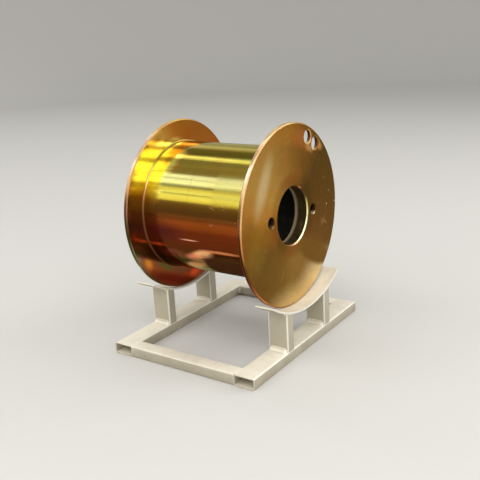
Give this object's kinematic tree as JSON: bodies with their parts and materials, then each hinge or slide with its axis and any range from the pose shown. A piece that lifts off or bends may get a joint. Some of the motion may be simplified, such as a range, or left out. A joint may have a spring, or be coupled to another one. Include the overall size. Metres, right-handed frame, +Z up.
{
  "type": "steel cable drum",
  "caption": "Flanged steel cable drum with a smooth barrel, a central bore, drive holes and lead-out holes, lying on a welded tube cradle with curved saddles.",
  "frame": {"origin": "on the floor, at the middle of the cradle's footprint, under the middle of the drum", "axes": "+X along the drum's axis towards the flange with the lead-out holes, -Y the front, +Z up"},
  "size_m": [0.375, 0.46, 0.4992],
  "materials": {
    "yellow_zinc": "polished zinc plating with an iridescent yellow passivate",
    "white_paint": "satin off-white paint"
  },
  "bodies": {
    "root": {"barrel": "yellow_zinc", "front_rail": "white_paint", "left_cross_beam": "white_paint", "left_flange": "yellow_zinc", "left_front_post": "white_paint", "left_front_post_front_weld": "white_paint", "left_front_post_rear_weld": "white_paint", "left_hub_ring": "yellow_zinc", "left_rear_post": "white_paint", "left_rear_post_front_weld": "white_paint", "left_rear_post_rear_weld": "white_paint", "left_saddle": "white_paint", "rear_rail": "white_paint", "right_cross_beam": "white_paint", "right_flange": "yellow_zinc", "right_front_post": "white_paint", "right_front_post_front_weld": "white_paint", "right_front_post_rear_weld": "white_paint", "right_hub_ring": "yellow_zinc", "right_rear_post": "white_paint", "right_rear_post_front_weld": "white_paint", "right_rear_post_rear_weld": "white_paint", "right_saddle": "white_paint"}
  },
  "joints": []
}
